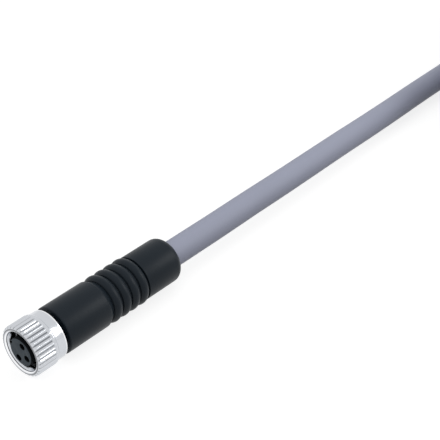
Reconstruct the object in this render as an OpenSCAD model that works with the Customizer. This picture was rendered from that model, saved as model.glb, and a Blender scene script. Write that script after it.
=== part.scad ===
// Straight female M8 sensor connector with three contacts, moulded on its cable.
// It lies on its side: +X runs from the mating face to the cable, +Z is up,
// and the origin is under the middle of the connector.

/* [Coupling ring] */
// Length of the ring along its axis
ring_len = 6.6; // [6:0.1:7]
// Diameter of the plain collar behind the ribs
collar_d = 9.3; // [8.8:0.1:10]
// Height of the ribbed band above the collar
rib_h = 0.25; // [0.15:0.05:0.4]
// Number of ribs round the band
rib_count = 33; // [24:1:36]
// Width of one rib
rib_w = 0.53; // [0.4:0.01:0.6]
// Depth of the grooves between the ribs
rib_groove_depth = 0.3; // [0.1:0.05:0.4]
// Distance from the front rim to where the ribs start
rib_start = 0.2; // [0.1:0.05:0.6]
// Distance from the front rim to the rounded rear ends of the grooves
rib_end = 4; // [3:0.1:4.2]
// Distance from the front rim to the rear end of the ribbed band
band_end = 4.6; // [4.3:0.1:5]
// Thickness of the rounded front rim
rim_t = 0.8; // [0.6:0.05:0.9]
// Bore at the crests of the coupling thread
thread_d = 6.92; // [6.9:0.01:7]
// Thickness of the inner flange that holds the ring on the carrier
ring_flange_t = 1.4; // [1:0.1:1.5]
// Chamfer at the ring's rear edge
ring_chamfer = 0.25; // [0.1:0.05:0.4]

/* [Contact carrier] */
// Diameter of the spigot that enters the mating socket
spigot_d = 5.4; // [5.3:0.05:5.6]
// Depth of the spigot's face behind the ring's front rim
spigot_inset = 0.05; // [0:0.05:0.8]
// Distance from the front rim to the carrier's flange
flange_at = 4.2; // [3.9:0.1:4.4]
// Thickness of the carrier's flange
flange_t = 0.8; // [0.6:0.05:0.9]
// Diameter of the carrier's flange
flange_d = 6.6; // [6.4:0.05:6.7]
// Diameter of the neck that the ring turns on
neck_d = 5.8; // [5.6:0.05:6]
// Distance from the front rim to the carrier's rear end
carrier_end = 12; // [11.5:0.1:13]
// Depth of the waist that anchors the carrier in the grip
waist_depth = 0.15; // [0.1:0.05:0.25]
// Length of the waist
waist_len = 1.3; // [1:0.1:1.4]
// Width of the keyway in the spigot
key_w = 0.9; // [0.6:0.05:1]
// Depth of the keyway
key_depth = 0.45; // [0.3:0.05:0.5]
// Turn of the keyway round the axis
key_turn = 112; // [0:1:359]

/* [Contacts] */
// Diameter of the circle that the contacts stand on
contact_circle_d = 3.3; // [3.2:0.05:3.5]
// Bore for the mating pin
pin_bore_d = 1; // [0.9:0.05:1.1]
// Depth of the bore for the mating pin
pin_bore_depth = 6; // [4:0.1:6.5]
// Outer diameter of a contact
contact_d = 1.5; // [1.4:0.05:1.6]
// Depth of a contact behind the spigot's face
contact_inset = 0.85; // [0.3:0.05:1]
// Width of the slot that makes the contact springy
slot_w = 0.2; // [0.1:0.05:0.3]
// Length of the slot
slot_len = 4; // [3:0.1:5]
// Diameter of the shoulder that seats the contact in the carrier
shoulder_d = 1.9; // [1.8:0.05:2]
// Thickness of the shoulder
shoulder_t = 0.8; // [0.5:0.1:1.2]
// Distance from the front rim to the shoulder's front
shoulder_at = 9.2; // [8.8:0.1:9.6]
// Distance from the front rim to the end of the wire barrel
barrel_end = 15; // [14:0.1:16]
// Depth of the wire barrel's bore
barrel_depth = 3.2; // [2.5:0.1:3.8]

/* [Sealing ring] */
// Section of the sealing ring
seal_section = 0.5; // [0.4:0.02:0.6]

/* [Grip] */
// Distance from the front rim to the grip's front
grip_start = 7.4; // [7.2:0.1:7.8]
// Distance from the front rim to the grip's rear face
grip_end = 35.7; // [34:0.1:38]
// Diameter of the grip's plain front
grip_d = 9.2; // [9:0.1:9.6]
// Length of the grip's plain front
grip_front_len = 9.6; // [9:0.1:10]
// Length of the taper from the plain front to the first groove
grip_taper_len = 1.1; // [0.4:0.1:1.3]
// Diameter of the grip behind its ribs
grip_rear_d = 8.92; // [8.6:0.02:9.2]
// Diameter at the bottom of the grooves between the grip's ribs
groove_d = 8.4; // [8.2:0.05:8.7]
// Diameter over the grip's ribs
grip_rib_d = 9.36; // [9:0.02:9.6]
// Number of ribs round the grip
grip_rib_count = 4; // [3:1:5]
// Spacing of the grip's ribs
grip_rib_pitch = 2.2; // [1.9:0.05:2.4]
// Radius of the rounded top of a rib
grip_rib_round = 1; // [0.9:0.05:1.2]
// Distance from the end of the plain front to the first rib's crest
grip_rib_first = 2.15; // [2:0.05:2.4]
// Radius of the grip's rounded rear edge
grip_rear_round = 1.5; // [0.8:0.1:1.8]
// Radius of the grip's front edge
grip_front_round = 0.25; // [0.1:0.05:0.4]

/* [Cable] */
// Diameter of the cable
cable_d = 5.2; // [5:0.1:5.4]
// Distance from the front rim to the end of the cable's jacket in the grip
jacket_start = 22.5; // [22:0.1:24]
// Diameter of an insulated core
core_d = 1.3; // [1.1:0.05:1.35]
// Distance from the front rim to where the cores' insulation starts
core_start = 16.2; // [16.1:0.1:16.6]
// Diameter of a core's copper conductor
conductor_d = 0.8; // [0.6:0.05:0.85]

/* [Cable hank] */
// Length of the hank's straight runs
hank_run = 50; // [40:1:60]
// Bend radius of the inner turns
hank_bend = 16; // [15.6:0.1:18]
// Turns side by side
hank_columns = 2; // [1:1:3]
// Turns on top of each other
hank_layers = 5; // [3:1:6]
// Thickness of a tie's band
tie_t = 0.8; // [0.6:0.1:1]
// Width of a tie's band
tie_w = 4; // [3:0.5:6]

/* [Hidden] */
$fn = 64;

// Clearances
running_gap = 0.05;     // ring on the carrier's neck, measured on the radius
seat_gap = 0.02;        // between pieces that are pressed or moulded together
flange_gap = 0.3;       // round the carrier's flange, in the relief behind the ring's thread
key_gap = 0.2;          // from the keyway's end and the thread's end to the seal
lead_in_gap = 0.05;     // round the pin where the carrier's funnel meets the contact
mouth_gap = 0.15;       // round the pin at the funnel's mouth in the carrier's face
waist_cover = 0.5;      // from the grip's front to the carrier's waist
cut = 1;                // how far a cut runs past the face it opens

// Radii and heights that several pieces share
collar_r = collar_d / 2;
rib_r = collar_r + rib_h;
rib_root = 0.15;        // how far the ribbed band reaches into the ring's wall
thread_r = thread_d / 2;
spigot_r = spigot_d / 2;
neck_r = neck_d / 2;
grip_r = grip_d / 2;
grip_rear_r = grip_rear_d / 2;
groove_r = groove_d / 2;
grip_rib_r = grip_rib_d / 2;
cable_r = cable_d / 2;
axis_z = max(rib_r, grip_r, grip_rib_r);
middle = grip_end / 2;
spigot_edge = 0.2;      // chamfer at the spigot's face
seal_step = 0.2;        // step that keeps the seal off the sliding part of the spigot
seal_seat_r = spigot_r + seal_step;
seal_step_at = flange_at - seal_section - key_gap;
seal_at = flange_at - seal_section / 2;
mouth_bevel = 0.12;     // at the contact's own mouth
contact_front = spigot_inset + contact_inset;
grip_rear_start = grip_start + grip_front_len + grip_rib_first + (grip_rib_count - 0.5) * grip_rib_pitch;

// Wire 1, 3 and 4 stand a quarter turn apart, with wire 4 opposite the keyway.
// In the cable the three cores lie a third of a turn apart.
turn_1 = key_turn + 90;
turn_4 = key_turn + 180;
turn_3 = key_turn + 270;
lay_turn = 120;
core_circle_r = core_d / 2 / sin(lay_turn / 2) + 2 * seat_gap;

// Route of the free cable: it leaves the grip level, sinks to the height of the
// lowest turns on their ties and ends where the hank's first run starts.
lay_z = tie_t + cable_r;
cable_route = [
    [middle, 0, axis_z], [24, 0, axis_z], [32, 0, axis_z], [42, 0.1, axis_z], [52, 0.2, 4.8],
    [62, 0.4, 4.7], [72, 0.7, 4.5], [82, 1.0, 4.2], [92, 1.4, 3.9], [102, 1.8, 3.7], [112, 2.1, 3.5],
    [122, 2.3, lay_z], [132, 2.4, lay_z]
];
cable_sides = 12;
core_sides = 10;
lane_out = hank_bend + (hank_columns - 1) * cable_d;
hank_outer_r = lane_out + cable_r;
hank_inner_r = hank_bend - cable_r;
hank_h = hank_layers * cable_d;
hank_x = cable_route[len(cable_route) - 1].x;
hank_y = cable_route[len(cable_route) - 1].y - lane_out;
tie_head = [7, 5, 3.2];
tie_round = 1.2;

ring_colour = [0.82, 0.82, 0.83];
carrier_colour = [0.2, 0.2, 0.22];
seal_colour = [0.1, 0.1, 0.1];
contact_colour = [0.85, 0.68, 0.32];
copper_colour = [0.72, 0.45, 0.3];
core_brown_colour = [0.35, 0.2, 0.1];
core_blue_colour = [0.1, 0.25, 0.6];
core_black_colour = [0.08, 0.08, 0.08];
grip_colour = [0.16, 0.17, 0.18];
cable_colour = [0.62, 0.63, 0.68];
tie_colour = [0.12, 0.12, 0.12];

// Lays what is built round Z on its side, with the front rim at the left end.
module lay() {
    translate([-middle, 0, axis_z]) rotate([0, 90, 0]) children();
}

// A round bar between two heights on the axis.
module bar(r, from, to) {
    translate([0, 0, from]) cylinder(r = r, h = to - from);
}

// A place on the contact circle.
module at_contact(turn) {
    rotate([0, 0, turn]) translate([contact_circle_d / 2, 0, 0]) children();
}

// A slot-shaped outline, from the start to a round end at length len.
module round_end_bar(len, w) {
    translate([0, -w / 2]) square([len - w / 2, w]);
    translate([len - w / 2, 0]) circle(d = w);
}

// Two round ends joined by straight sides.
module stadium(r, run) {
    circle(r = r);
    translate([run, 0]) circle(r = r);
    translate([0, -r]) square([run, 2 * r]);
}

// A square with round corners.
module round_rect(size, r) {
    for (x = [r, size.x - r], y = [r, size.y - r]) translate([x, y]) circle(r = r);
    translate([r, 0]) square([size.x - 2 * r, size.y]);
    translate([0, r]) square([size.x, size.y - 2 * r]);
}

// A tube of n sides along a list of points. Each ring stands square to the
// route there, except the first and last, which stand square to their own stretch.
function unit(v) = v / norm(v);
function heading(p, i) =
    let (last = len(p) - 1)
    unit(p[min(i + 1, last)] - p[max(i - 1, 0)]);
function side_of(d, up) = unit(cross(up, d));
function ring_at(p, i, r, n, up) =
    let (d = heading(p, i), s = side_of(d, up), t = cross(d, s))
    [for (k = [0 : n - 1]) p[i] + r * (cos(360 * k / n) * s + sin(360 * k / n) * t)];

module sweep(p, r, n, up) {
    points = [for (i = [0 : len(p) - 1]) each ring_at(p, i, r, n, up)];
    last = (len(p) - 1) * n;
    sides = [
        for (i = [0 : len(p) - 2], k = [0 : n - 1])
            let (a = i * n + k, b = i * n + (k + 1) % n)
            each [[a, a + n, b], [b, a + n, b + n]]
    ];
    ends = [[for (k = [0 : n - 1]) k], [for (k = [n - 1 : -1 : 0]) last + k]];
    polyhedron(points, concat(sides, ends));
}

// Where one core runs: straight behind its contact, inwards to the jacket, straight on.
function on_turn(r, turn, z) = [r * cos(turn), r * sin(turn), z];
function core_route(contact_turn, cable_turn) = [
    on_turn(contact_circle_d / 2, contact_turn, core_start),
    on_turn(contact_circle_d / 2, contact_turn, core_start + core_d),
    on_turn(core_circle_r, cable_turn, jacket_start - core_d / 2),
    on_turn(core_circle_r, cable_turn, jacket_start + core_d),
    on_turn(core_circle_r, cable_turn, grip_end)
];

module core(contact_turn, cable_turn, gap) {
    sweep(core_route(contact_turn, cable_turn), core_d / 2 + gap, core_sides, [1, 0, 0]);
}

module all_cores(gap) {
    core(turn_1, turn_4 - lay_turn, gap);
    core(turn_4, turn_4, gap);
    core(turn_3, turn_4 + lay_turn, gap);
}

// Half section of the ring's body: rounded front rim, thread bore, relief for the
// seal and the carrier's flange, and the inner flange that runs on the neck.
module ring_section() {
    rim_mid = collar_r - rim_t / 2;
    rim_in = collar_r - rim_t;
    funnel_end = rim_t / 2 + rim_in - thread_r;
    relief_r = flange_d / 2 + flange_gap;
    flange_front = ring_len - ring_flange_t;
    hole_r = neck_r + running_gap;
    difference() {
        union() {
            translate([rim_mid, rim_t / 2]) circle(d = rim_t);
            polygon([
                [hole_r, rim_t / 2], [collar_r, rim_t / 2], [collar_r, ring_len - ring_chamfer],
                [collar_r - ring_chamfer, ring_len], [hole_r, ring_len]
            ]);
        }
        polygon([
            [0, 0], [rim_in, 0], [rim_in, rim_t / 2], [thread_r, funnel_end],
            [thread_r, seal_step_at], [relief_r, seal_step_at],
            [relief_r, flange_front], [0, flange_front]
        ]);
    }
}

// The raised band that the grooves are cut into, sloped at both ends. It reaches
// into the ring's wall by its root.
module rib_band_section() {
    root_r = collar_r - rib_root;
    polygon([
        [root_r, rib_start - rib_root], [rib_r, rib_start + rib_h],
        [rib_r, band_end - rib_h], [root_r, band_end + rib_root]
    ]);
}

// The grooves run out at the front and end round at the rear, short of the band's end.
module rib_grooves() {
    groove_w = 2 * PI * rib_r / rib_count - rib_w;
    for (i = [0 : rib_count - 1])
        rotate([0, 0, i * 360 / rib_count])
            translate([rib_r - rib_groove_depth, 0, -cut])
                rotate([0, -90, 180])
                    linear_extrude(rib_groove_depth + cut) round_end_bar(rib_end + cut, groove_w);
}

module coupling_ring() {
    color(ring_colour) lay() difference() {
        union() {
            rotate_extrude() ring_section();
            rotate_extrude() rib_band_section();
        }
        rib_grooves();
    }
}

// The keyway is cut along the spigot as far as the seal's seat.
module keyway() {
    rotate([0, 0, key_turn])
        translate([spigot_r - key_depth, -key_w / 2, spigot_inset - cut])
            cube([key_depth + cut, key_w, seal_step_at - spigot_inset + cut]);
}

// One stepped hole for a contact: funnel, seat, and room for the shoulder.
module contact_hole() {
    lead_in_r = pin_bore_d / 2 + lead_in_gap;
    slope = (mouth_gap - lead_in_gap) / contact_inset;
    rotate_extrude() polygon([
        [0, spigot_inset - cut], [lead_in_r + slope * (contact_inset + cut), spigot_inset - cut],
        [lead_in_r, contact_front], [lead_in_r, contact_front + cut], [0, contact_front + cut]
    ]);
    bar(contact_d / 2 + seat_gap, contact_front, shoulder_at + cut);
    bar(shoulder_d / 2 + seat_gap, shoulder_at, carrier_end + cut);
}

// The carrier's neck and tail, grown by a gap where the grip is moulded round it.
// The ring slides on over the tail, so the anchor is a waist and no collar.
module carrier_tail(gap) {
    waist_at = grip_start + waist_cover;
    waist_r = neck_r - waist_depth;
    rotate_extrude() polygon([
        [0, flange_at], [neck_r + gap, flange_at], [neck_r + gap, waist_at + gap],
        [waist_r + gap, waist_at + gap], [waist_r + gap, waist_at + waist_len - gap],
        [neck_r + gap, waist_at + waist_len - gap], [neck_r + gap, carrier_end + gap],
        [0, carrier_end + gap]
    ]);
}

module contact_carrier() {
    color(carrier_colour) lay() difference() {
        union() {
            rotate_extrude() polygon([
                [0, spigot_inset], [spigot_r - spigot_edge, spigot_inset],
                [spigot_r, spigot_inset + spigot_edge], [spigot_r, seal_step_at],
                [seal_seat_r, seal_step_at], [seal_seat_r, flange_at], [flange_d / 2, flange_at],
                [flange_d / 2, flange_at + flange_t], [0, flange_at + flange_t]
            ]);
            carrier_tail(0);
        }
        for (turn = [turn_1, turn_3, turn_4]) at_contact(turn) contact_hole();
        keyway();
    }
}

module sealing_ring() {
    color(seal_colour) lay()
        translate([0, 0, seal_at])
            rotate_extrude()
                translate([seal_seat_r + seat_gap + seal_section / 2, 0]) circle(d = seal_section);
}

// A turned contact: slotted socket in front, shoulder, and a barrel for the wire.
module contact(turn) {
    bore_r = pin_bore_d / 2;
    lay() at_contact(turn) difference() {
        union() {
            bar(contact_d / 2, contact_front, barrel_end);
            bar(shoulder_d / 2, shoulder_at, shoulder_at + shoulder_t);
        }
        bar(bore_r, contact_front - cut, contact_front + pin_bore_depth);
        translate([0, 0, contact_front])
            cylinder(r1 = bore_r + mouth_bevel, r2 = bore_r, h = mouth_bevel);
        translate([-contact_d, -slot_w / 2, contact_front - cut])
            cube([2 * contact_d, slot_w, slot_len + cut]);
        bar(conductor_d / 2 + seat_gap, barrel_end - barrel_depth, barrel_end + cut);
    }
}

module contact_1() { color(contact_colour) contact(turn_1); }
module contact_3() { color(contact_colour) contact(turn_3); }
module contact_4() { color(contact_colour) contact(turn_4); }

// Bare copper between the barrel's bottom and the core's insulation.
module conductor(turn) {
    lay() at_contact(turn) bar(conductor_d / 2, barrel_end - barrel_depth, core_start);
}

module conductor_brown() { color(copper_colour) conductor(turn_1); }
module conductor_blue() { color(copper_colour) conductor(turn_3); }
module conductor_black() { color(copper_colour) conductor(turn_4); }

module core_brown() { color(core_brown_colour) lay() core(turn_1, turn_4 - lay_turn, 0); }
module core_blue() { color(core_blue_colour) lay() core(turn_3, turn_4 + lay_turn, 0); }
module core_black() { color(core_black_colour) lay() core(turn_4, turn_4, 0); }

// Half section of the grip's outside.
module grip_section() {
    front_end = grip_start + grip_front_len;
    taper_end = front_end + grip_taper_len;
    front_round_r = grip_r - grip_front_round;
    front_round_at = grip_start + grip_front_round;
    round_r = grip_rear_r - grip_rear_round;
    round_at = grip_end - grip_rear_round;
    translate([0, grip_start]) square([front_round_r, grip_front_len]);
    translate([front_round_r, front_round_at]) circle(r = grip_front_round);
    polygon([
        [0, front_round_at], [grip_r, front_round_at], [grip_r, front_end],
        [groove_r, taper_end], [groove_r, grip_rear_start], [0, grip_rear_start]
    ]);
    for (i = [0 : grip_rib_count - 1])
        translate([grip_rib_r - grip_rib_round, front_end + grip_rib_first + i * grip_rib_pitch])
            circle(r = grip_rib_round);
    translate([0, grip_rear_start]) square([grip_rear_r, round_at - grip_rear_start]);
    translate([0, grip_rear_start]) square([round_r, grip_end - grip_rear_start]);
    translate([round_r, round_at]) circle(r = grip_rear_round);
}

module grip_body() {
    color(grip_colour) lay() difference() {
        rotate_extrude() grip_section();
        carrier_tail(seat_gap);
        for (turn = [turn_1, turn_3, turn_4]) at_contact(turn) {
            bar(contact_d / 2 + seat_gap, carrier_end, barrel_end + seat_gap);
            bar(conductor_d / 2 + seat_gap, barrel_end, core_start + cut);
        }
        all_cores(seat_gap);
        bar(cable_r + seat_gap, jacket_start - seat_gap, grip_end + cut);
    }
}

// The end of the cable's jacket that the grip is moulded on.
module cable_jacket() {
    color(cable_colour) lay() difference() {
        bar(cable_r, jacket_start, grip_end);
        all_cores(seat_gap);
    }
}

module cable_lead() {
    color(cable_colour) sweep(cable_route, cable_r, cable_sides, [0, 0, 1]);
}

// The rest of the cable, wound to a long hank that lies on its two ties.
module cable_hank() {
    color(cable_colour) translate([hank_x, hank_y, tie_t]) linear_extrude(hank_h) difference() {
        stadium(hank_outer_r, hank_run);
        stadium(hank_inner_r, hank_run);
    }
}

// A band round one side of the hank, with its lock on top.
module hank_tie(side) {
    bundle_w = hank_outer_r - hank_inner_r;
    mid = side * (hank_outer_r + hank_inner_r) / 2;
    outer = [bundle_w + 2 * tie_t, hank_h + 2 * tie_t];
    color(tie_colour) translate([hank_x + hank_run / 2, hank_y + mid, 0]) {
        translate([-tie_w / 2, 0, 0]) rotate([90, 0, 90]) linear_extrude(tie_w) difference() {
            translate([-outer.x / 2, 0]) round_rect(outer, tie_round);
            translate([-bundle_w / 2, tie_t]) square([bundle_w, hank_h]);
        }
        translate([-tie_head.y / 2, -tie_head.x / 2, outer.y]) cube([tie_head.y, tie_head.x, tie_head.z]);
    }
}

module hank_tie_front() { hank_tie(-1); }
module hank_tie_back() { hank_tie(1); }

coupling_ring();
contact_carrier();
sealing_ring();
contact_1();
contact_3();
contact_4();
conductor_brown();
conductor_blue();
conductor_black();
core_brown();
core_blue();
core_black();
grip_body();
cable_jacket();
cable_lead();
cable_hank();
hank_tie_front();
hank_tie_back();
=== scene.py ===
"""Looks of a straight round sensor connector, moulded on its cable.

Pieces are modelled in millimetres round the connector's axis, with X running from the
front rim to the cable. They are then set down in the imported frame, in metres.
"""

import logging
import math
from dataclasses import dataclass, field
from enum import Enum
from typing import Callable, Iterable, Sequence

import bpy
from mathutils import Matrix, Vector


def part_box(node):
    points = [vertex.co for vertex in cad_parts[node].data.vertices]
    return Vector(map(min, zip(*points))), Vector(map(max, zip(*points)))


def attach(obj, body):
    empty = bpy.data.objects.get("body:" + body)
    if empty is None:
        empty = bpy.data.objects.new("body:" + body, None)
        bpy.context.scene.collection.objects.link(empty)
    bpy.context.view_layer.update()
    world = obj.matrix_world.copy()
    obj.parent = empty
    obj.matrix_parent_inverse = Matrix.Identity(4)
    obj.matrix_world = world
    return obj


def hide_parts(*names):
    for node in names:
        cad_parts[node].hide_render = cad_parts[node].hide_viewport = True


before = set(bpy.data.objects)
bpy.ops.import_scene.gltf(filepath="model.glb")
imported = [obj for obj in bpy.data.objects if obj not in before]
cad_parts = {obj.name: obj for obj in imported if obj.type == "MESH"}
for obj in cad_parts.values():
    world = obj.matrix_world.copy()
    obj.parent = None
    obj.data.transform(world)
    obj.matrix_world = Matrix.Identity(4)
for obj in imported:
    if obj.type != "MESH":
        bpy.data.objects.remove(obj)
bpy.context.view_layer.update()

LOG = logging.getLogger("connector")

# One millimetre in metres, and bench lengths in millimetres: points closer than MERGE_GAP
# become one, places closer than NEAR count as the same, and a cutter reaches PAST a face.
MM = 0.001
MERGE_GAP = 1e-4
NEAR = 1e-3
PAST = 1.0

# Bodies and nodes of the imported frame, and attributes that finishes read: painted shade and
# painted highlight.
CONNECTOR = "connector"
RING = "ring"
CONTACTS = ("contact_1", "contact_3", "contact_4")
PAINTED_SHADE = "painted_shade"
PAINTED_HIGHLIGHT = "painted_highlight"

Point = tuple[float, float]
Place = tuple[float, float, float]
Colour = tuple[float, float, float]


class Element(Enum):
    """What a selection in edit mode is made of, as edit mode's own switches."""

    VERTEX = (True, False, False)
    EDGE = (False, True, False)
    FACE = (False, False, True)


class Grain(Enum):
    """How a finish runs over a piece, as the stretch of its pattern along X, Y and Z."""

    EVEN = (1.0, 1.0, 1.0)
    TURNED = (1.0, 0.04, 0.04)
    DRAWN = (0.05, 1.0, 1.0)


def box_mm(node: str) -> tuple[Vector, Vector]:
    """Gives a CAD node's box in millimetres.

    Args:
        node: The node's name.

    Returns:
        The lowest and the highest corner, in the row frame.
    """
    low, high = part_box(node)
    return low / MM, high / MM


def arc(centre: Point, radius: float, start: float, stop: float, steps: int) -> list[Point]:
    """Gives points along an arc in a half section.

    Args:
        centre: Place of the centre, along the axis and away from it.
        radius: Radius of the arc.
        start: First angle in degrees, from the axis towards the outside.
        stop: Last angle in degrees.
        steps: Number of straight steps.

    Returns:
        The points from start to stop, both ends included.
    """
    angles = [math.radians(start + (stop - start) * i / steps) for i in range(steps + 1)]
    return [(centre[0] + radius * math.cos(a), centre[1] + radius * math.sin(a)) for a in angles]


def off_axis(point: Vector) -> float:
    """Distance of a bench point from the connector's axis."""
    return math.hypot(point.y, point.z)


@dataclass(frozen=True)
class AxisFrame:
    """Place of the connector's axis in the row frame, in millimetres."""

    front: float
    height: float

    @classmethod
    def from_cad(cls) -> "AxisFrame":
        """Reads the axis from the coupling ring, which lies round it."""
        low, high = box_mm("coupling_ring")
        return cls(front=low.x, height=(low.z + high.z) / 2)

    @property
    def origin(self) -> Vector:
        """The middle of the front rim, in metres in the row frame."""
        return Vector((self.front, 0.0, self.height)) * MM

    def along(self, x: float) -> float:
        """Distance behind the front rim of a place given along the row's X."""
        return x - self.front

    def across(self, node: str) -> Vector:
        """Middle of a CAD node, seen along the axis, as a bench vector."""
        low, high = box_mm(node)
        middle = (low + high) / 2
        return Vector((0.0, middle.y, middle.z - self.height))


class Workpiece:
    """One mesh on the bench, in millimetres, shaped by operators."""

    def __init__(self, obj: bpy.types.Object) -> None:
        """Takes over a mesh object."""
        self.obj = obj

    @staticmethod
    def clear_selection() -> None:
        """Leaves edit mode and deselects every object."""
        if bpy.context.object and bpy.context.object.mode != "OBJECT":
            bpy.ops.object.mode_set(mode="OBJECT")
        bpy.ops.object.select_all(action="DESELECT")

    @classmethod
    def named(cls, name: str) -> "Workpiece":
        """Names the object that an operator has just added, and its mesh."""
        obj = bpy.context.object
        obj.name = name
        obj.data.name = name
        return cls(obj)

    @classmethod
    def line(cls, name: str, points: Sequence[Point]) -> "Workpiece":
        """Draws a half section as a chain of edges.

        Args:
            name: Name of the piece.
            points: Places along the axis and away from it.

        Returns:
            The chain, in the plane of X and Z.
        """
        cls.clear_selection()
        bpy.ops.mesh.primitive_plane_add(size=1.0)
        piece = cls.named(name)
        bpy.context.tool_settings.mesh_select_mode = Element.VERTEX.value
        piece.open()
        bpy.ops.mesh.merge(type="CENTER")
        x, r = points[0]
        bpy.ops.transform.translate(value=(x, 0.0, r))
        for (x0, r0), (x1, r1) in zip(points, points[1:]):
            bpy.ops.mesh.extrude_vertices_move(
                TRANSFORM_OT_translate={"value": (x1 - x0, 0.0, r1 - r0)}
            )
        piece.leave()
        return piece

    @classmethod
    def turned(cls, name: str, points: Sequence[Point], steps: int) -> "Workpiece":
        """Turns a half section round the axis to a closed solid.

        Args:
            name: Name of the piece.
            points: The section, closed by its own last point or by the axis.
            steps: Number of facets round the axis.

        Returns:
            The turned piece.
        """
        piece = cls.line(name, points)
        piece.open()
        bpy.ops.mesh.spin(steps=steps, angle=math.tau, center=(0, 0, 0), axis=(1, 0, 0))
        piece.tidy()
        return piece

    @classmethod
    def block(cls, name: str, low: Vector, high: Vector) -> "Workpiece":
        """Adds a block between two corners."""
        cls.clear_selection()
        bpy.ops.mesh.primitive_cube_add(size=1.0, location=(low + high) / 2)
        piece = cls.named(name)
        piece.obj.scale = high - low
        return piece.apply_place()

    def activate(self) -> None:
        """Makes this piece the only selected and the active object."""
        self.clear_selection()
        self.obj.select_set(True)
        bpy.context.view_layer.objects.active = self.obj

    def tidy(self, unit: float = 1.0) -> None:
        """Merges doubles and turns the faces outwards; the unit is the mesh's millimetre."""
        self.open()
        bpy.ops.mesh.remove_doubles(threshold=MERGE_GAP * unit)
        bpy.ops.mesh.normals_make_consistent(inside=False)
        self.leave()

    def open(self) -> None:
        """Opens edit mode with everything selected."""
        self.activate()
        bpy.ops.object.mode_set(mode="EDIT")
        bpy.ops.mesh.select_all(action="SELECT")

    def pick(self, element: Element, test: Callable[[list[Vector]], bool]) -> None:
        """Selects edges or faces by their place and opens edit mode.

        Args:
            element: What is selected.
            test: Takes an element's corner points and says whether it is wanted.
        """
        mesh = self.obj.data
        bpy.context.tool_settings.mesh_select_mode = element.value
        self.open()
        bpy.ops.mesh.select_all(action="DESELECT")
        self.leave()
        for item in mesh.edges if element is Element.EDGE else mesh.polygons:
            item.select = test([mesh.vertices[i].co for i in item.vertices])
        bpy.ops.object.mode_set(mode="EDIT")

    def leave(self) -> None:
        """Goes back to object mode."""
        bpy.ops.object.mode_set(mode="OBJECT")

    def modify(self, kind: str, **settings: object) -> None:
        """Adds a modifier with these settings and applies it."""
        self.activate()
        modifier = self.obj.modifiers.new(kind.lower(), kind)
        for key, value in settings.items():
            setattr(modifier, key, value)
        bpy.ops.object.modifier_apply(modifier=modifier.name)

    def cut(self, tools: Iterable["Workpiece"]) -> None:
        """Cuts other pieces out of this one and throws them away."""
        for tool in tools:
            self.modify("BOOLEAN", object=tool.obj, operation="DIFFERENCE", solver="EXACT")
            tool.discard()

    def join(self, others: Iterable["Workpiece"]) -> None:
        """Takes other pieces into this one's mesh."""
        self.activate()
        for other in others:
            other.obj.select_set(True)
        bpy.ops.object.join()

    def copy(self, name: str) -> "Workpiece":
        """Makes a copy with a mesh of its own."""
        self.activate()
        bpy.ops.object.duplicate(linked=False)
        return self.named(name)

    def move(self, step: Vector) -> "Workpiece":
        """Moves the piece and puts the move into its mesh."""
        self.obj.location = step
        return self.apply_place()

    def turn(self, angle: float) -> "Workpiece":
        """Turns the piece round the axis, from Y towards Z, in radians."""
        self.obj.rotation_euler = (angle, 0.0, 0.0)
        return self.apply_place()

    def apply_place(self) -> "Workpiece":
        """Puts the object's place, turn and scale into its mesh."""
        self.activate()
        bpy.ops.object.transform_apply(location=True, rotation=True, scale=True)
        return self

    def discard(self) -> None:
        """Removes the piece and its mesh."""
        mesh = self.obj.data
        bpy.data.objects.remove(self.obj)
        bpy.data.meshes.remove(mesh)

    def ease_edges(self, width: float, segments: int, angle: float) -> None:
        """Rounds every edge that is sharper than an angle.

        Args:
            width: Width of the rounding.
            segments: Number of facets across it.
            angle: Smallest bend of an edge that is rounded, in degrees.
        """
        self.modify(
            "BEVEL", width=width, segments=segments, limit_method="ANGLE",
            angle_limit=math.radians(angle), use_clamp_overlap=True, miter_outer="MITER_ARC",
        )

    def smooth(self, angle: float) -> None:
        """Shades the piece smooth, apart from edges sharper than an angle in degrees."""
        self.activate()
        bpy.ops.object.shade_smooth_by_angle(angle=math.radians(angle))

    def mark(self, name: str, share: Callable[[Vector], float]) -> None:
        """Stores a share from 0 to 1 at each point, for finishes that change with it."""
        values = [share(vertex.co) for vertex in self.obj.data.vertices]
        shares = self.obj.data.attributes.new(name, "FLOAT", "POINT")
        shares.data.foreach_set("value", values)

    def settle(self, origin: Vector) -> bpy.types.Object:
        """Sets the piece down in the row frame.

        Args:
            origin: Where the bench's origin goes, in metres.

        Returns:
            The finished object, at the origin, with its place in its mesh.
        """
        self.obj.scale = (MM, MM, MM)
        self.obj.location = origin
        return self.apply_place().obj


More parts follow.
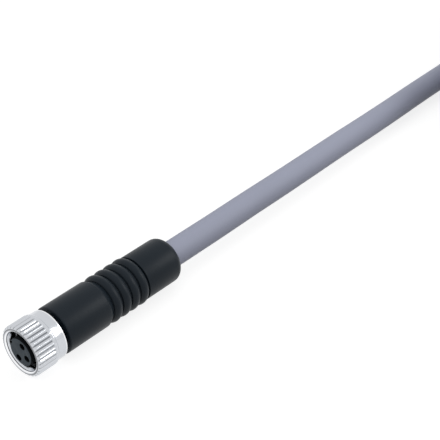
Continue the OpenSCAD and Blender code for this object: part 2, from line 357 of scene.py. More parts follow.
@dataclass(frozen=True)
class Finish:
    """A procedural finish: two tones, a band of roughness and a fine relief, plus a painted shade
    tone and a painted highlight tone where the piece's attributes call for them.

    Sizes of the grain and the relief are in millimetres.
    """

    name: str
    slot: str
    tone: Colour
    second_tone: Colour
    roughness: Point
    grain: float
    relief: float
    metallic: float = 0.0
    specular: float = 0.5
    run: Grain = Grain.EVEN
    cloud: float = 6.0
    detail: float = 4.0
    # Colours for painted shade and painted highlight, blended in where the piece marks them.
    painted_shade_tone: Colour | None = None
    painted_highlight_tone: Colour | None = None

    def material(self) -> bpy.types.Material:
        """Builds the material, or finds it where it is built already.

        Returns:
            A material that reads Object coordinates and the piece's own attributes.
        """
        made = bpy.data.materials.get(self.name)
        if made:
            return made
        made = bpy.data.materials.new(self.name)
        made.use_nodes = True
        made.diffuse_color = (*self.tone, 1.0)
        nodes, links = made.node_tree.nodes, made.node_tree.links
        shader = nodes["Principled BSDF"]
        shader.inputs["Metallic"].default_value = self.metallic
        shader.inputs["Specular IOR Level"].default_value = self.specular
        place = nodes.new("ShaderNodeTexCoord")
        fine = self._noise(nodes, links, place, self.grain, self.run)
        broad = self._noise(nodes, links, place, self.cloud, Grain.EVEN)
        tones = nodes.new("ShaderNodeMix")
        tones.data_type = "RGBA"
        tones.inputs["A"].default_value = (*self.tone, 1.0)
        tones.inputs["B"].default_value = (*self.second_tone, 1.0)
        links.new(broad.outputs["Fac"], tones.inputs["Factor"])
        tone = tones.outputs["Result"]
        # Painted shade and painted highlight go into the colour here.
        for name, other in ((PAINTED_SHADE, self.painted_shade_tone), (PAINTED_HIGHLIGHT, self.painted_highlight_tone)):
            if other:
                tone = self._shaded(nodes, links, tone, name, other)
        links.new(tone, shader.inputs["Base Color"])
        gloss = nodes.new("ShaderNodeMapRange")
        gloss.inputs["To Min"].default_value = self.roughness[0]
        gloss.inputs["To Max"].default_value = self.roughness[1]
        links.new(fine.outputs["Fac"], gloss.inputs["Value"])
        links.new(gloss.outputs["Result"], shader.inputs["Roughness"])
        bump = nodes.new("ShaderNodeBump")
        bump.inputs["Distance"].default_value = self.relief * MM
        links.new(fine.outputs["Fac"], bump.inputs["Height"])
        links.new(bump.outputs["Normal"], shader.inputs["Normal"])
        return made

    def _noise(
        self, nodes: bpy.types.Nodes, links: bpy.types.NodeLinks,
        place: bpy.types.Node, size: float, run: Grain,
    ) -> bpy.types.Node:
        """Adds a noise pattern of a grain size in millimetres, stretched along its run."""
        mapping = nodes.new("ShaderNodeMapping")
        mapping.inputs["Scale"].default_value = run.value
        noise = nodes.new("ShaderNodeTexNoise")
        noise.inputs["Scale"].default_value = 1.0 / (size * MM)
        noise.inputs["Detail"].default_value = self.detail
        links.new(place.outputs["Object"], mapping.inputs["Vector"])
        links.new(mapping.outputs["Vector"], noise.inputs["Vector"])
        return noise

    @staticmethod
    def _shaded(
        nodes: bpy.types.Nodes, links: bpy.types.NodeLinks, tone: bpy.types.NodeSocket,
        name: str, other: Colour,
    ) -> bpy.types.NodeSocket:
        """Blends a tone to another one where an attribute of the piece rises, painting shade or
        highlight into the colour.
        """
        share = nodes.new("ShaderNodeAttribute")
        share.attribute_name = name
        blend = nodes.new("ShaderNodeMix")
        blend.data_type = "RGBA"
        blend.inputs["B"].default_value = (*other, 1.0)
        links.new(share.outputs["Fac"], blend.inputs["Factor"])
        links.new(tone, blend.inputs["A"])
        return blend.outputs["Result"]

    def dress(self, obj: bpy.types.Object) -> None:
        """Gives an object this finish in place of whatever it has."""
        obj.data.materials.clear()
        obj.data.materials.append(self.material())


class Finishes:
    """The finishes of this connector."""

    # Darker painted shade in the grooves, on the lip and inside; lighter painted highlight on the
    # edges.
    NICKEL = Finish(
        "bright_nickel", "nickel", (0.615, 0.635, 0.67), (0.565, 0.585, 0.615), (0.1, 0.2),
        grain=0.12, relief=0.004, metallic=1.0, run=Grain.TURNED, painted_shade_tone=(0.15, 0.155, 0.165),
        painted_highlight_tone=(0.9, 0.91, 0.93),
    )
    # Its near-black second colour is painted shade in the holes, the keyway and on the sides behind
    # the face.
    CARRIER = Finish(
        "dark_grey_insert", "carrier", (0.115, 0.138, 0.158), (0.101, 0.122, 0.141), (0.5, 0.7),
        grain=0.15, relief=0.01, specular=0.08, painted_shade_tone=(0.003, 0.004, 0.005),
    )
    SEAL = Finish(
        "black_rubber", "seal", (0.014, 0.014, 0.014), (0.02, 0.02, 0.02), (0.65, 0.85),
        grain=0.1, relief=0.008, specular=0.3,
    )
    GOLD = Finish(
        "gold_plating", "gold", (0.86, 0.62, 0.24), (0.78, 0.55, 0.2), (0.2, 0.34),
        grain=0.1, relief=0.003, metallic=1.0, run=Grain.TURNED,
    )
    COPPER = Finish(
        "bare_copper", "copper", (0.75, 0.36, 0.2), (0.66, 0.3, 0.16), (0.25, 0.42),
        grain=0.12, relief=0.02, metallic=1.0, run=Grain.DRAWN,
    )
    BROWN = Finish(
        "brown_insulation", "brown_core", (0.1, 0.04, 0.018), (0.085, 0.034, 0.015), (0.35, 0.5),
        grain=0.2, relief=0.005, run=Grain.DRAWN,
    )
    BLUE = Finish(
        "blue_insulation", "blue_core", (0.02, 0.09, 0.36), (0.018, 0.08, 0.31), (0.35, 0.5),
        grain=0.2, relief=0.005, run=Grain.DRAWN,
    )
    BLACK = Finish(
        "black_insulation", "black_core", (0.014, 0.014, 0.015), (0.018, 0.018, 0.019), (0.35, 0.5),
        grain=0.2, relief=0.005, run=Grain.DRAWN,
    )
    GRIP = Finish(
        "moulded_grip", "grip", (0.0098, 0.0155, 0.0220), (0.0085, 0.0136, 0.0194), (0.36, 0.46),
        grain=0.18, relief=0.008, specular=0.16,
    )
    JACKET = Finish(
        "grey_jacket", "jacket", (0.387, 0.407, 0.507), (0.361, 0.38, 0.476), (0.46, 0.6),
        grain=0.25, relief=0.008, specular=0.2, cloud=14.0,
    )
    TIE = Finish(
        "black_tie", "tie", (0.016, 0.016, 0.017), (0.02, 0.02, 0.021), (0.4, 0.55),
        grain=0.2, relief=0.01, specular=0.4,
    )


CORES = {"brown": Finishes.BROWN, "blue": Finishes.BLUE, "black": Finishes.BLACK}


def deliver(
    obj: bpy.types.Object, finish: Finish, body: str, stands_for: Sequence[str] = (),
) -> bpy.types.Object:
    """Dresses a finished piece and hands it to the frame.

    Args:
        obj: The finished piece.
        finish: Its finish.
        body: The body that it moves with.
        stands_for: CAD nodes that it takes the place of.

    Returns:
        The same piece.
    """
    finish.dress(obj)
    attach(obj, body)
    if stands_for:
        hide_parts(*stands_for)
    LOG.info("%s on %s, in place of %s", obj.name, body, ", ".join(stands_for) or "nothing")
    return obj


@dataclass
class CouplingRing:
    """The ring with its grooved band and its thread. Sizes in millimetres."""

    axis: AxisFrame
    rib_count: int = 33
    facets_per_rib: int = 18
    rib_height: float = 0.25
    rib_start: float = 0.2
    rib_end: float = 4.0
    band_end: float = 4.6
    band_fall: float = 0.3
    band_slope: float = 0.12
    band_crown: float = 0.25
    # Rows of points along the band, close together where the grooves end.
    front_rows: tuple[float, ...] = (2.5, 1.5, 0.9, 0.6, 0.5)
    end_rows: int = 14
    end_row_step: float = 0.05
    end_row_lead: float = 0.2
    groove_width: float = 0.45
    groove_depth: float = 0.3
    groove_flank: float = 0.4
    # How far a flank is hollow, and how fast the painted shade in a groove fades up the flank.
    groove_bend: float = 0.2
    groove_fade: int = 5
    rim: float = 0.8
    funnel_angle: float = 36.0
    rear_round: float = 0.25
    # Width of the collar's rear strip that gets the painted highlight.
    highlight_strip: float = 0.15
    thread_root: float = 3.8
    thread_crest: float = 3.46
    thread_pitch: float = 1.0
    thread_start: float = 1.4
    thread_turn: float = -50.0
    thread_end: float = 3.5
    thread_flank: float = 30.0
    thread_tip: float = 0.06
    thread_seat: float = 0.03
    thread_turns: int = 2
    thread_steps: int = 72
    relief_radius: float = 3.6
    flange: float = 1.4
    hole_radius: float = 2.95
    edge: float = 0.09
    # The painted shade line on the lip and the painted highlight in the mouth, as shares of the
    # rim's thickness.
    lip_shade: float = 0.85
    lip_depth: float = 0.06
    lip_share: float = 0.6
    mouth_share: float = 0.7
    length: float = field(init=False)
    band: float = field(init=False)

    def __post_init__(self) -> None:
        """Takes the length and the band's radius from the CAD node."""
        low, high = box_mm("coupling_ring")
        self.length = high.x - low.x
        self.band = (high.z - low.z) / 2

    @property
    def collar(self) -> float:
        """Radius of the plain collar behind the band."""
        return self.band - self.rib_height

    @property
    def facets(self) -> int:
        """Number of facets round the ring."""
        return self.rib_count * self.facets_per_rib

    def outside(self) -> list[Point]:
        """The band, from its rear slope to where it runs out on the rim.

        Returns:
            Its points, with close rows where the grooves have their round ends.
        """
        slope, crown = self.band_slope, self.band_crown
        last_row = self.rib_end + self.end_row_lead
        rows = [last_row - self.end_row_step * i for i in range(self.end_rows)]
        return [
            (self.band_end, self.collar),
            *arc((self.band_end - self.band_fall, self.band - slope), slope, 45, 90, 3),
            *((x, self.band) for x in (*rows, *self.front_rows)),
            *arc((self.rib_start + crown, self.band - crown), crown, 90, 150, 5),
        ]

    def section(self) -> list[Point]:
        """Half section of the ring, from its hole's rear edge round and back."""
        rim_middle = self.collar - self.rim / 2
        rim_inside = self.collar - self.rim
        funnel = (rim_inside - self.thread_crest) / math.tan(math.radians(self.funnel_angle))
        step = self.thread_root - self.thread_crest
        flange_front = self.length - self.flange
        rear = self.length - self.rear_round
        return [
            (self.length, self.hole_radius),
            *arc((rear, self.collar - self.rear_round), self.rear_round, 0, 90, 6),
            (rear - self.highlight_strip, self.collar),
            *self.outside(),
            *arc((self.rim / 2, rim_middle), self.rim / 2, 135, 270, 14),
            (self.rim / 2 + funnel, self.thread_crest),
            (self.rim / 2 + funnel + step, self.thread_root),
            (self.thread_end, self.thread_root),
            (self.thread_end, self.relief_radius),
            (flange_front, self.relief_radius),
            (flange_front, self.hole_radius),
            (self.length, self.hole_radius),
        ]

    def groove_share(self, point: Vector) -> float:
        """Tells how far a point of the band is pressed in.

        Args:
            point: The point, on the bench.

        Returns:
            1 in a groove, 0 on a rib or behind a groove's round end, and between on a flank.
        """
        pitches = math.atan2(point.y, point.z) / math.tau * self.rib_count
        aside = (0.5 - abs(pitches - round(pitches))) * math.tau * self.band / self.rib_count
        behind = max(point.x - self.rib_end + self.groove_width / 2, 0.0)
        inside = self.groove_width / 2 - math.hypot(aside, behind)
        share = min(max(0.5 + inside / self.groove_flank, 0.0), 1.0)
        return share * (1.0 - self.groove_bend + self.groove_bend * share)

    def press_grooves(self, ring: Workpiece) -> None:
        """Wraps the band onto a plain core where its grooves are, with a rib left on top."""
        floor = self.band - self.groove_depth
        core = Workpiece.turned("core", [(0.0, floor), (self.band_end, floor)], self.facets)
        places = [vertex.co.copy() for vertex in ring.obj.data.vertices]
        shares = [self.groove_share(co) if off_axis(co) > floor else 0.0 for co in places]
        grooves = ring.obj.vertex_groups.new(name="grooves")
        for index, share in enumerate(shares):
            grooves.add([index], share, "REPLACE")
        ring.modify(
            "SHRINKWRAP", target=core.obj, wrap_method="NEAREST_SURFACEPOINT",
            wrap_mode="ON_SURFACE", vertex_group=grooves.name,
        )
        core.discard()

    def painted_shade(self, point: Vector) -> float:
        """Tells how much painted shade a finished point gets, in a groove, on the lip or inside,
        from 0 to 1.
        """
        radius = off_axis(point)
        if radius > self.band - self.groove_depth - self.edge:
            return self.groove_share(point) ** self.groove_fade
        if point.x < self.lip_depth and radius > self.collar - self.rim * self.lip_share:
            return self.lip_shade
        inside = radius < self.collar - self.edge and point.x < self.length - self.flange / 2
        return float(inside and point.x > self.rim + self.edge)

    def painted_highlight(self, point: Vector) -> float:
        """Tells where a painted highlight goes, as a lighter nickel tone: on the mouth's and the
        collar's edge.
        """
        radius = off_axis(point)
        in_mouth = radius < self.collar - self.rim * self.mouth_share
        on_collar = radius > self.collar - self.rear_round - self.edge
        in_front = point.x < self.rim / 2 - self.edge
        behind = point.x > self.length - self.rear_round - self.highlight_strip / 2
        return float((in_front and in_mouth) or (behind and on_collar))

    def thread(self) -> Workpiece:
        """Winds the thread's ridge inside the ring."""
        root, crest, tip = self.thread_root + self.thread_seat, self.thread_crest, self.thread_tip
        foot = (root - crest) * math.tan(math.radians(self.thread_flank)) + tip
        section = [(-foot, root), (-tip, crest), (tip, crest), (foot, root), (-foot, root)]
        ridge = Workpiece.line("thread_ridge", section)
        ridge.tidy()
        ridge.modify(
            "SCREW", axis="X", angle=math.tau, screw_offset=self.thread_pitch,
            iterations=self.thread_turns, steps=self.thread_steps, render_steps=self.thread_steps,
        )
        ridge.open()
        bpy.ops.mesh.fill_holes(sides=0)
        ridge.tidy()
        return ridge.turn(math.radians(self.thread_turn)).move(Vector((self.thread_start, 0, 0)))

    def build(self) -> bpy.types.Object:
        """Builds the ring and hands it over."""
        ring = Workpiece.turned("ribbed_ring", self.section(), self.facets)
        ring.ease_edges(self.edge, segments=3, angle=30)
        self.press_grooves(ring)
        ring.join([self.thread()])
        # Painted shade in the grooves, on the lip and inside, and a painted highlight on the
        # mouth's and the collar's edge.
        ring.mark(PAINTED_SHADE, self.painted_shade)
        ring.mark(PAINTED_HIGHLIGHT, self.painted_highlight)
        ring.smooth(angle=38)
        return deliver(ring.settle(self.axis.origin), Finishes.NICKEL, RING, ["coupling_ring"])


@dataclass
class ContactCarrier:
    """The moulded insert with its keyway and the contacts' holes. Sizes in millimetres."""

    axis: AxisFrame
    spigot_radius: float = 2.7
    front_round: float = 0.18
    seat_at: float = 3.5
    seat_radius: float = 2.9
    flange_at: float = 4.2
    flange_end: float = 5.0
    waist_at: float = 7.9
    waist_end: float = 9.2
    waist_radius: float = 2.75
    mouth_radius: float = 0.65
    lead_in_radius: float = 0.55
    contact_front: float = 0.9
    contact_seat_radius: float = 0.77
    shoulder_at: float = 9.2
    shoulder_radius: float = 0.97
    key_width: float = 0.9
    key_depth: float = 0.45
    edge: float = 0.05
    facets: int = 96
    hole_facets: int = 40
    front: float = field(init=False)
    end: float = field(init=False)
    flange_radius: float = field(init=False)

    def __post_init__(self) -> None:
        """Takes the ends and the flange from the CAD node."""
        low, high = box_mm("contact_carrier")
        self.front = self.axis.along(low.x)
        self.end = self.axis.along(high.x)
        self.flange_radius = (high.z - low.z) / 2

    def section(self) -> list[Point]:
        """Half section of the insert, from its face to its tail."""
        rounded = self.spigot_radius - self.front_round
        return [
            (self.front, 0.0),
            *arc((self.front + self.front_round, rounded), self.front_round, 180, 90, 4),
            (self.seat_at, self.spigot_radius),
            (self.seat_at, self.seat_radius),
            (self.flange_at, self.seat_radius),
            (self.flange_at, self.flange_radius),
            (self.flange_end, self.flange_radius),
            (self.flange_end, self.seat_radius),
            (self.waist_at, self.seat_radius),
            (self.waist_at, self.waist_radius),
            (self.waist_end, self.waist_radius),
            (self.waist_end, self.seat_radius),
            (self.end, self.seat_radius),
            (self.end, 0.0),
        ]

    def hole(self) -> Workpiece:
        """A cutter for one contact's hole, on the axis."""
        slope = (self.mouth_radius - self.lead_in_radius) / (self.contact_front - self.front)
        section = [
            (self.front - PAST, 0.0),
            (self.front - PAST, self.mouth_radius + slope * PAST),
            (self.front + self.edge, self.mouth_radius - slope * self.edge),
            (self.contact_front, self.lead_in_radius),
            (self.contact_front, self.contact_seat_radius),
            (self.shoulder_at, self.contact_seat_radius),
            (self.shoulder_at, self.shoulder_radius),
            (self.end + PAST, self.shoulder_radius),
            (self.end + PAST, 0.0),
        ]
        return Workpiece.turned("hole_cutter", section, self.hole_facets)

    def keyway(self, turn: float) -> Workpiece:
        """A cutter for the keyway, turned to its place."""
        low = Vector((self.front - PAST, self.spigot_radius - self.key_depth, -self.key_width / 2))
        high = Vector((self.seat_at, self.spigot_radius + PAST / 4, self.key_width / 2))
        return Workpiece.block("key_cutter", low, high).turn(turn)

    def build(self) -> bpy.types.Object:
        """Builds the insert and hands it over."""
        insert = Workpiece.turned("contact_insert", self.section(), self.facets)
        insert.pick(Element.FACE, lambda points: all(abs(p.x - self.front) < NEAR for p in points))
        bpy.ops.mesh.dissolve_faces()
        insert.leave()
        first = self.hole()
        places = [self.axis.across(contact) for contact in CONTACTS]
        cutters = [first.copy("hole_cutter").move(place) for place in places]
        first.discard()
        opposite = -places[-1]
        cutters.append(self.keyway(math.atan2(opposite.z, opposite.y)))
        insert.cut(cutters)
        insert.ease_edges(self.edge, segments=2, angle=40)
        # Painted shade on everything behind the face: holes, keyway and side wall.
        insert.mark(PAINTED_SHADE, lambda point: float(point.x > self.front + self.edge / 2))
        insert.smooth(angle=35)
        return deliver(
            insert.settle(self.axis.origin), Finishes.CARRIER, CONNECTOR, ["contact_carrier"]
        )


@dataclass
class Grip:
    """The moulded grip with its four rounded ribs. Sizes in millimetres."""

    axis: AxisFrame
    front_round: float = 0.25
    front_radius: float = 4.6
    front_length: float = 9.6
    taper_length: float = 1.1
    rear_radius: float = 4.46
    groove_radius: float = 3.95
    groove_width: float = 0.32
    rib_count: int = 4
    rib_pitch: float = 2.2
    rib_round: float = 1.12
    rib_first: float = 2.15
    rear_round: float = 1.5
    neck_radius: float = 2.92
    cable_radius: float = 2.62
    cavity_end: float = 12.02
    edge: float = 0.06
    facets: int = 128
    start: float = field(init=False)
    end: float = field(init=False)
    crest_radius: float = field(init=False)

    def __post_init__(self) -> None:
        """Takes the ends and the ribs' radius from the CAD node."""
        low, high = box_mm("grip_body")
        self.start = self.axis.along(low.x)
        self.end = self.axis.along(high.x)
        self.crest_radius = (high.z - low.z) / 2

    def rib(self, crest: float) -> list[Point]:
        """The rounded top of one rib, with its feet in the narrow grooves beside it."""
        centre = (crest, self.crest_radius - self.rib_round)
        reach = (self.rib_pitch - self.groove_width) / 2
        side = math.degrees(math.acos(reach / self.rib_round))
        top = arc(centre, self.rib_round, 180 - side, side, 12)
        return [(crest - reach, self.groove_radius), *top, (crest + reach, self.groove_radius)]

    def section(self) -> list[Point]:
        """Half section of the grip, from its front hole round the outside and back inside."""
        front_end = self.start + self.front_length
        crests = [front_end + self.rib_first + i * self.rib_pitch for i in range(self.rib_count)]
        rear_start = crests[-1] + self.rib_pitch / 2
        front_centre = (self.start + self.front_round, self.front_radius - self.front_round)
        rear_centre = (self.end - self.rear_round, self.rear_radius - self.rear_round)
        return [
            (self.start, self.neck_radius),
            *arc(front_centre, self.front_round, 180, 90, 5),
            (front_end, self.front_radius),
            (front_end + self.taper_length, self.groove_radius),
            *(point for crest in crests for point in self.rib(crest)),
            (rear_start, self.groove_radius),
            (rear_start, self.rear_radius),
            *arc(rear_centre, self.rear_round, 90, 0, 12),
            (self.end, self.cable_radius),
            (self.cavity_end, self.cable_radius),
            (self.cavity_end, self.neck_radius),
            (self.start, self.neck_radius),
        ]

    def build(self) -> bpy.types.Object:
        """Builds the grip and hands it over."""
        grip = Workpiece.turned("moulded_grip", self.section(), self.facets)
        grip.ease_edges(self.edge, segments=3, angle=25)
        grip.smooth(angle=50)
        return deliver(grip.settle(self.axis.origin), Finishes.GRIP, CONNECTOR, ["grip_body"])


@dataclass
class Cable:
    """The free cable: a straight lead and a hank, with its stripped end. Sizes in millimetres."""

    diameter: float = 5.2
    jacket_length: float = 1970.0
    run: float = 50.0
    lanes: tuple[float, float] = (21.2, 16.0)
    layers: int = 5
    floor_gap: float = 0.8
    loop_steps: int = 28
    climb_share: float = 0.8
    core_length: float = 30.0
    bare_length: float = 6.0
    core_radius: float = 0.65
    core_circle: float = 0.85
    core_spread: float = 0.75
    core_depth: float = 1.0
    core_steps: int = 10
    strand_radius: float = 0.4
    lead_steps: int = 6
    bevel_steps: int = 6
    core_bevel_steps: int = 4
    route: tuple[Place, ...] = (
        (17.85, 0, 4.9), (24, 0, 4.9), (32, 0, 4.9), (42, 0.1, 4.9), (52, 0.2, 4.8), (62, 0.4, 4.7),
        (72, 0.7, 4.5), (82, 1.0, 4.2), (92, 1.4, 3.9), (102, 1.8, 3.7), (112, 2.1, 3.5),
        (122, 2.3, 3.4), (132, 2.4, 3.4),
    )

    def lead(self) -> list[Vector]:
        """The straight stretch, as a smooth curve through the route's points."""
        knots = [Vector(p) for p in self.route]
        ends = [2 * knots[0] - knots[1], *knots, 2 * knots[-1] - knots[-2]]
        shares = [i / self.lead_steps for i in range(self.lead_steps)]
        spans = zip(ends, ends[1:], ends[2:], ends[3:])
        return [self.between(*span, share) for span in spans for share in shares]

    @staticmethod
    def between(a: Vector, b: Vector, c: Vector, d: Vector, t: float) -> Vector:
        """A point between b and c on the curve through four points."""
        square = (2 * a - 5 * b + 4 * c - d) * t * t
        cube = (3 * b - a - 3 * c + d) * t ** 3
        return 0.5 * (2 * b + (c - a) * t + square + cube)

    def loop(self, near: bool, radii: Point, heights: Point) -> list[Vector]:
        """Half a turn at one end of the hank.

        Args:
            near: Whether it is the end next to the connector.
            radii: Radius at the start and at the end of the half turn.
            heights: Height at the start and at the end.

        Returns:
            Points from the start to the end, both included.
        """
        start = -math.pi / 2 if near else math.pi / 2
        points = []
        for i in range(self.loop_steps + 1):
            share = i / self.loop_steps
            eased = self.ease(min(share / self.climb_share, 1.0))
            radius = radii[0] + (radii[1] - radii[0]) * self.ease(share)
            height = heights[0] + (heights[1] - heights[0]) * eased
            turn = start - math.pi * share
            x = self.route[-1][0] + (0.0 if near else self.run) + radius * math.cos(turn)
            points.append(Vector((x, self.middle_y + radius * math.sin(turn), height)))
        return points

    @staticmethod
    def ease(share: float) -> float:
        """Starts and ends a change gently."""
        return share * share * (3 - 2 * share)

    @property
    def middle_y(self) -> float:
        """Where the hank's long axis lies."""
        return self.route[-1][1] - self.lanes[0]

    def height(self, layer: int) -> float:
        """Height of the cable's middle in a layer of the hank."""
        return self.floor_gap + (layer + 0.5) * self.diameter

    def hank(self) -> list[Vector]:
        """The wound length: up in the outer lane, across on top and down in the inner one."""
        outer, inner = self.lanes
        top = self.layers - 1
        points = []
        for layer in range(top):
            level = self.height(layer)
            points += self.loop(False, (outer, outer), (level, level))
            points += self.loop(True, (outer, outer), (level, self.height(layer + 1)))
        points += self.loop(False, (outer, inner), (self.height(top), self.height(top)))
        for layer in range(top, 0, -1):
            below = self.height(layer - 1)
            points += self.loop(True, (inner, inner), (self.height(layer), below))
            points += self.loop(False, (inner, inner), (below, below))
        points.append(points[-1] - Vector((self.run, 0, 0)))
        return points

    def path(self) -> list[Vector]:
        """The whole cable, cut to the length of its jacket."""
        points = self.lead() + [Vector(self.route[-1])] + self.hank()
        kept, left = [points[0]], self.jacket_length
        for a, b in zip(points, points[1:]):
            step = (b - a).length
            if step >= left:
                return [*kept, a + (b - a) * (left / step)]
            kept.append(b)
            left -= step
        return kept

    @staticmethod
    def tube(name: str, points: Sequence[Vector], radius: float, steps: int) -> bpy.types.Object:
        """Lays a round curve along points.

        Args:
            name: Name of the curve.
            points: Its middle line, in millimetres.
            radius: Its radius in millimetres.
            steps: How finely its section is rounded.

        Returns:
            The curve's object, in metres.
        """
        data = bpy.data.curves.new(name, "CURVE")
        data.dimensions = "3D"
        data.bevel_depth = radius * MM
        data.bevel_resolution = steps
        data.use_fill_caps = True
        spline = data.splines.new("POLY")
        spline.points.add(len(points) - 1)
        for spot, point in zip(spline.points, points):
            spot.co = (*(point * MM), 1.0)
        spline.use_smooth = True
        obj = bpy.data.objects.new(name, data)
        bpy.context.scene.collection.objects.link(obj)
        return obj

    def stripped_end(self, end: Vector, heading: Vector) -> list[bpy.types.Object]:
        """Three cores with bare strands that stand out of the jacket's cut end.

        Args:
            end: Middle of the cut, in millimetres.
            heading: Unit direction in which the cable ends.

        Returns:
            The finished pieces.
        """
        side = heading.cross(Vector((0, 0, 1)))
        up = side.cross(heading)
        shares = [k / self.core_steps for k in range(self.core_steps + 1)]
        pieces = []
        for i, finish in enumerate(CORES.values()):
            turn = math.tau * i / len(CORES) + math.pi / 2
            away = side * math.cos(turn) + up * math.sin(turn)
            points = [
                end + heading * (self.core_length * share - self.core_depth)
                + away * (self.core_circle + self.core_spread * self.ease(share))
                for share in shares
            ]
            core = self.tube(
                f"{finish.slot}_end", points, self.core_radius, self.core_bevel_steps
            )
            pieces.append(deliver(self.meshed(core), finish, CONNECTOR))
            tip = points[-1]
            strand = self.tube(
                f"{finish.slot}_strands", [tip - heading, tip + heading * self.bare_length],
                self.strand_radius, self.core_bevel_steps,
            )
            pieces.append(deliver(self.meshed(strand), Finishes.COPPER, CONNECTOR))
        return pieces

    @staticmethod
    def meshed(obj: bpy.types.Object) -> bpy.types.Object:
        """Makes a curve a mesh with closed ends."""
        piece = Workpiece(obj)
        piece.activate()
        bpy.ops.object.convert(target="MESH")
        piece.obj = bpy.context.object
        piece.tidy(MM)
        return piece.obj

    def build(self, ties: Sequence[bpy.types.Object]) -> None:
        """Args:
            ties: The ties on the hank; not used.
        """
        points = self.path()
        cable = self.tube("grey_cable", points, self.diameter / 2, self.bevel_steps)
        deliver(cable, Finishes.JACKET, CONNECTOR, ["cable_lead", "cable_hank"])
        heading = (points[-1] - points[-2]).normalized()
        ends = self.stripped_end(points[-1], heading)


@dataclass
class HankTie:
    """A tie round one side of the hank, with its lock on top. Sizes in millimetres."""

    node: str
    name: str
    band: float = 0.8
    width: float = 4.0
    corner: float = 1.2
    band_edge: float = 0.15
    lock_height: float = 3.2
    lock_span: float = 7.0
    lock_seat: float = 0.05
    lock_edge: float = 0.25
    slot_span: float = 2.0
    slot_floor: float = 0.6

    def build(self) -> bpy.types.Object:
        """Builds the tie in the place of its CAD node and hands it over."""
        low, high = box_mm(self.node)
        middle = (low + high) / 2
        half = Vector((self.width / 2, 0, 0))
        top = high.z - self.lock_height
        low_corner = Vector((middle.x, low.y, low.z)) - half
        high_corner = Vector((middle.x, high.y, top)) + half
        tie = Workpiece.block(self.name, low_corner, high_corner)
        tie.pick(Element.FACE, lambda points: self.span(points) < NEAR)
        bpy.ops.mesh.delete(type="ONLY_FACE")
        tie.leave()
        tie.pick(Element.EDGE, lambda points: self.span(points) > NEAR)
        bpy.ops.mesh.bevel(offset=self.corner, segments=5, affect="EDGES")
        tie.leave()
        tie.modify("SOLIDIFY", thickness=self.band, offset=-1.0, use_even_offset=True)
        tie.ease_edges(self.band_edge, segments=2, angle=40)
        tie.join([self.lock(middle, top, high)])
        tie.smooth(angle=35)
        return deliver(tie.settle(Vector()), Finishes.TIE, CONNECTOR, [self.node])

    @staticmethod
    def span(points: Sequence[Vector]) -> float:
        """How far points reach along X."""
        return max(p.x for p in points) - min(p.x for p in points)

    def lock(self, middle: Vector, top: float, high: Vector) -> Workpiece:
        """The lock: a rounded block with a slot for the tail."""
        reach = Vector((high.x - middle.x, self.lock_span / 2, 0))
        slot_reach = Vector((self.width / 2, self.slot_span / 2, 0))
        foot = Vector((middle.x, middle.y, 0))
        up = Vector((0, 0, 1))
        lock = Workpiece.block(
            "lock", foot - reach + up * (top - self.lock_seat), foot + reach + up * high.z
        )
        slot = Workpiece.block(
            "slot", foot - slot_reach + up * (top + self.slot_floor),
            foot + slot_reach + up * (high.z + PAST),
        )
        lock.cut([slot])
        lock.ease_edges(self.lock_edge, segments=3, angle=40)
        return lock


def dress_cad_nodes() -> None:
    """Gives the CAD nodes that stay their finishes."""
    chosen = {"sealing_ring": Finishes.SEAL, "cable_jacket": Finishes.JACKET}
    chosen |= {contact: Finishes.GOLD for contact in CONTACTS}
    for colour, finish in CORES.items():
        chosen |= {f"core_{colour}": finish, f"conductor_{colour}": Finishes.COPPER}
    for node, finish in chosen.items():
        finish.dress(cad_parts[node])
        LOG.info("%s keeps its CAD shape with %s", node, finish.name)


@dataclass(frozen=True)
class Lamp:
    """A soft square lamp. Lengths in metres, power in watts."""

    name: str
    place: Place
    size: float
    power: float
    mirrored: bool = True
    aim: Place = (0.03, 0.0, 0.0)

    def hang(self) -> None:
        """Hangs the lamp, seen in polished pieces or not."""
        data = bpy.data.lights.new(self.name, "AREA")
        data.shape = "SQUARE"
        data.size = self.size
        data.energy = self.power
        obj = bpy.data.objects.new(self.name, data)
        obj.location = self.place
        heading = Vector(self.aim) - Vector(self.place)
        obj.rotation_euler = heading.to_track_quat("-Z", "Y").to_euler()
        obj.visible_glossy = self.mirrored
        bpy.context.scene.collection.objects.link(obj)


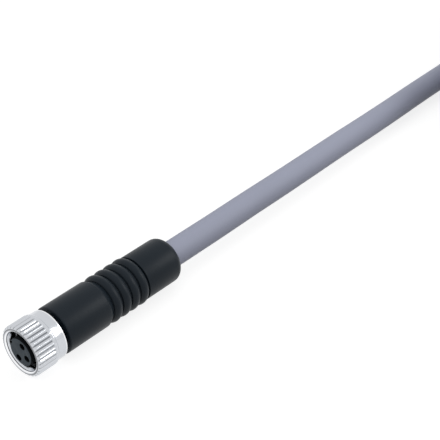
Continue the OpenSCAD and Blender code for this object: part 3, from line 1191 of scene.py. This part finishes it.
@dataclass
class Studio:
    """Camera, floor, world and lamps. Lengths in metres, angles in degrees."""

    azimuth: float = -48.436
    elevation: float = 35.005
    place: Place = (-0.11198, -0.128375, 0.141076)
    lens: float = 100.0
    sensor: float = 36.0
    clip: Point = (0.005, 20.0)
    ambient: float = 0.4
    floor_size: float = 6.0
    floor_glow: float = 0.8
    floor_tone: float = 0.35
    floor_bounce: float = 0.22
    lamps: tuple[Lamp, ...] = (
        Lamp("top_light", (-0.05, 0.1, 0.9), size=1.2, power=3.8, mirrored=False),
        Lamp("side_light", (0.5, -0.45, 0.4), size=0.36, power=1.6),
    )

    def camera(self) -> None:
        """Sets the camera at the photograph's angle."""
        data = bpy.data.cameras.new("photo_camera")
        data.lens = self.lens
        data.sensor_width = self.sensor
        data.sensor_fit = "HORIZONTAL"
        data.clip_start, data.clip_end = self.clip
        obj = bpy.data.objects.new("photo_camera", data)
        bpy.context.scene.collection.objects.link(obj)
        turn, tilt = math.radians(self.azimuth), math.radians(self.elevation)
        back = Vector((
            math.sin(turn) * math.cos(tilt), -math.cos(turn) * math.cos(tilt), math.sin(tilt),
        ))
        facing = back.to_track_quat("Z", "Y").to_matrix().to_4x4()
        obj.matrix_world = Matrix.Translation(self.place) @ facing
        bpy.context.scene.camera = obj

    @staticmethod
    def seen(nodes: bpy.types.Nodes, links: bpy.types.NodeLinks) -> bpy.types.NodeSocket:
        """Adds the test for rays that show the background itself.

        Args:
            nodes: Nodes of the tree.
            links: Links of the tree.

        Returns:
            A socket that is 1 for camera, glossy and transmission rays.
        """
        path = nodes.new("ShaderNodeLightPath")
        first = nodes.new("ShaderNodeMath")
        first.operation = "MAXIMUM"
        links.new(path.outputs["Is Camera Ray"], first.inputs[0])
        links.new(path.outputs["Is Glossy Ray"], first.inputs[1])
        second = nodes.new("ShaderNodeMath")
        second.operation = "MAXIMUM"
        links.new(first.outputs[0], second.inputs[0])
        links.new(path.outputs["Is Transmission Ray"], second.inputs[1])
        return second.outputs[0]

    def world(self) -> None:
        """Makes the world white to look at and softer as a light."""
        world = bpy.data.worlds.new("white_studio")
        bpy.context.scene.world = world
        world.use_nodes = True
        nodes, links = world.node_tree.nodes, world.node_tree.links
        nodes.clear()
        light = nodes.new("ShaderNodeBackground")
        light.inputs["Strength"].default_value = self.ambient
        light.inputs["Color"].default_value = (1.0, 1.0, 1.0, 1.0)
        white = nodes.new("ShaderNodeBackground")
        white.inputs["Color"].default_value = (1.0, 1.0, 1.0, 1.0)
        mix = nodes.new("ShaderNodeMixShader")
        output = nodes.new("ShaderNodeOutputWorld")
        links.new(self.seen(nodes, links), mix.inputs["Fac"])
        links.new(light.outputs[0], mix.inputs[1])
        links.new(white.outputs[0], mix.inputs[2])
        links.new(mix.outputs[0], output.inputs["Surface"])

    def floor(self) -> None:
        """Lays a pale floor that looks white and keeps the shadow."""
        Workpiece.clear_selection()
        bpy.ops.mesh.primitive_grid_add(x_subdivisions=2, y_subdivisions=2, size=self.floor_size)
        floor = Workpiece.named("studio_floor").obj
        material = bpy.data.materials.new("white_floor")
        material.use_nodes = True
        nodes, links = material.node_tree.nodes, material.node_tree.links
        nodes.clear()
        matt = nodes.new("ShaderNodeBsdfDiffuse")
        matt.inputs["Color"].default_value = (self.floor_bounce,) * 3 + (1.0,)
        faint = nodes.new("ShaderNodeBsdfDiffuse")
        faint.inputs["Color"].default_value = (self.floor_tone,) * 3 + (1.0,)
        glow = nodes.new("ShaderNodeEmission")
        glow.inputs["Strength"].default_value = self.floor_glow
        shown = nodes.new("ShaderNodeAddShader")
        links.new(faint.outputs[0], shown.inputs[0])
        links.new(glow.outputs[0], shown.inputs[1])
        mix = nodes.new("ShaderNodeMixShader")
        output = nodes.new("ShaderNodeOutputMaterial")
        links.new(self.seen(nodes, links), mix.inputs["Fac"])
        links.new(matt.outputs[0], mix.inputs[1])
        links.new(shown.outputs[0], mix.inputs[2])
        links.new(mix.outputs[0], output.inputs["Surface"])
        floor.data.materials.append(material)

    def build(self) -> None:
        """Sets up the whole studio."""
        self.camera()
        self.world()
        self.floor()
        for lamp in self.lamps:
            lamp.hang()
        bpy.context.scene.view_settings.view_transform = "Standard"


def main() -> None:
    """Builds every piece in order and reports it."""
    logging.basicConfig(level=logging.INFO, format="%(name)s: %(message)s")
    axis = AxisFrame.from_cad()
    Studio().build()
    ties = [HankTie(f"hank_{name}", name).build() for name in ("tie_front", "tie_back")]
    Cable().build(ties)
    CouplingRing(axis).build()
    ContactCarrier(axis).build()
    Grip(axis).build()
    dress_cad_nodes()


if __name__ == "__main__":
    main()
